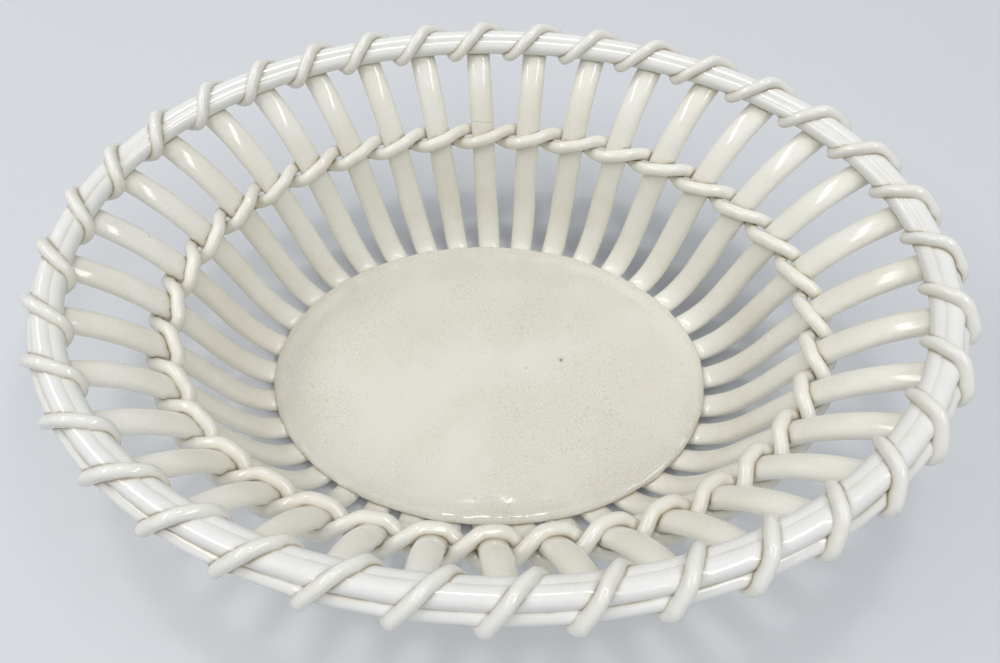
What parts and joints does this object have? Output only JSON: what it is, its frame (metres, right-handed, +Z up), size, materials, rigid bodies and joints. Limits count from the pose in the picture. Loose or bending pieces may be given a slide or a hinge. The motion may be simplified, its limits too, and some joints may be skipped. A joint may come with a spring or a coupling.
{
  "type": "openwork table basket",
  "caption": "Oval openwork earthenware table basket: a flat plate, flared upright ribs, a twined band round them and a cord-bound rim of round rods.",
  "frame": {"origin": "the middle of the basket's box, on the plane that its foot stands on", "axes": "+X along the length of the oval, +Y across it towards the far side of the picture, +Z up out of the bowl"},
  "size_m": [0.266, 0.2028, 0.0791],
  "materials": {
    "plate_glaze": "clear glossy glaze over a cream body, finely crazed",
    "rib_glaze": "clear glossy glaze over a cream body",
    "rod_glaze": "clear glossy glaze over a cream body",
    "strand_glaze": "clear glossy glaze, stained tan in the joints",
    "cord_glaze": "clear glossy glaze, stained tan in the joints"
  },
  "bodies": {
    "root": {"base_plate": "plate_glaze", "rib_01": "rib_glaze", "rib_02": "rib_glaze", "rib_03": "rib_glaze", "rib_04": "rib_glaze", "rib_05": "rib_glaze", "rib_06": "rib_glaze", "rib_07": "rib_glaze", "rib_08": "rib_glaze", "rib_09": "rib_glaze", "rib_10": "rib_glaze", "rib_11": "rib_glaze", "rib_12": "rib_glaze", "rib_13": "rib_glaze", "rib_14": "rib_glaze", "rib_15": "rib_glaze", "rib_16": "rib_glaze", "rib_17": "rib_glaze", "rib_18": "rib_glaze", "rib_19": "rib_glaze", "rib_20": "rib_glaze", "rib_21": "rib_glaze", "rib_22": "rib_glaze", "rib_23": "rib_glaze", "rib_24": "rib_glaze", "rib_25": "rib_glaze", "rib_26": "rib_glaze", "rib_27": "rib_glaze", "rib_28": "rib_glaze", "rib_29": "rib_glaze", "rib_30": "rib_glaze", "rib_31": "rib_glaze", "rib_32": "rib_glaze", "rib_33": "rib_glaze", "rib_34": "rib_glaze", "rib_35": "rib_glaze", "rib_36": "rib_glaze", "rim_rod_inner": "rod_glaze", "rim_rod_top": "rod_glaze", "rim_rod_lower": "rod_glaze", "band_strand_a": "strand_glaze", "band_strand_b": "strand_glaze", "rim_binding": "cord_glaze"}
  },
  "joints": []
}
